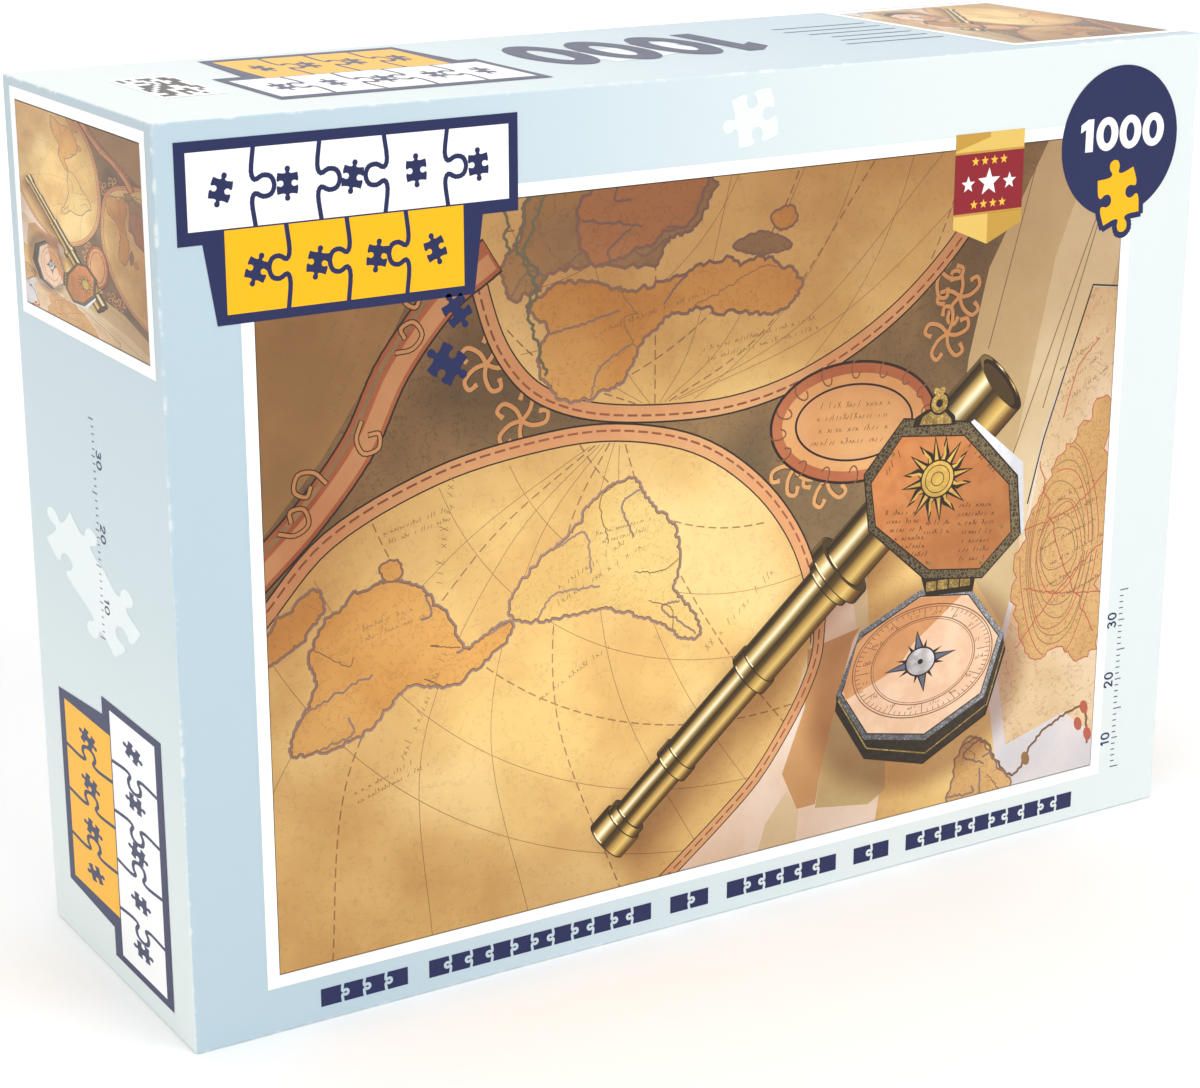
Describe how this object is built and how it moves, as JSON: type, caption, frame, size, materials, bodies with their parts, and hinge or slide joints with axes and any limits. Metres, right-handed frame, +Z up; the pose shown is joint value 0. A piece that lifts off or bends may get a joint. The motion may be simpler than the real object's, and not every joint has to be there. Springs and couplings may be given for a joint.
{
  "type": "boxed jigsaw puzzle",
  "caption": "Rigid two-piece puzzle box standing upright: printed lid slips over the full depth of a tray that holds a sealed bag of loose interlocking pieces.",
  "frame": {"origin": "middle of the long narrow side that the box stands on, on that surface", "axes": "+Z is up; X runs along the wide picture face; the picture face looks towards -Y; Y runs through the depth of the box"},
  "size_m": [0.32, 0.098, 0.235],
  "materials": {
    "printed_paper": "satin film-laminated print: pale blue-grey ground with a warm old-map picture in a white frame",
    "tray_paper": "plain white coated paper, satin",
    "greyboard": "matt grey-brown solid board with flecks",
    "kraft_tape": "matt brown gummed paper tape",
    "bag_film": "clear crumpled polyethylene film with crimped seals",
    "puzzle_board": "printed linen-finish picture side on blue-grey puzzle board with pressed edges"
  },
  "bodies": {
    "tray": {"tray_board": "greyboard", "tray_wrap": "tray_paper", "tray_corner_stay_1": "kraft_tape", "tray_corner_stay_2": "kraft_tape", "tray_corner_stay_3": "kraft_tape", "tray_corner_stay_4": "kraft_tape"},
    "lid": {"lid_board": "greyboard", "lid_wrap": "printed_paper", "lid_corner_stay_1": "kraft_tape", "lid_corner_stay_2": "kraft_tape", "lid_corner_stay_3": "kraft_tape", "lid_corner_stay_4": "kraft_tape"},
    "contents": {"puzzle_bag": "bag_film", "puzzle_pieces_01": "puzzle_board", "puzzle_pieces_02": "puzzle_board", "puzzle_pieces_03": "puzzle_board", "puzzle_pieces_04": "puzzle_board", "puzzle_pieces_05": "puzzle_board", "puzzle_pieces_06": "puzzle_board", "puzzle_pieces_07": "puzzle_board", "puzzle_pieces_08": "puzzle_board", "puzzle_pieces_09": "puzzle_board", "puzzle_pieces_10": "puzzle_board", "puzzle_pieces_11": "puzzle_board", "puzzle_pieces_12": "puzzle_board", "puzzle_pieces_13": "puzzle_board", "puzzle_pieces_14": "puzzle_board", "puzzle_pieces_15": "puzzle_board", "puzzle_pieces_16": "puzzle_board", "puzzle_pieces_17": "puzzle_board", "puzzle_pieces_18": "puzzle_board"}
  },
  "joints": [
    {"name": "lid_lift", "type": "slide", "parent": "tray", "child": "lid", "axis": [0, -1, 0], "range_m": [0, 0.13]},
    {"name": "bag_shift", "type": "slide", "parent": "tray", "child": "contents", "axis": [0, -1, 0], "range_m": [0, 0.04]}
  ]
}
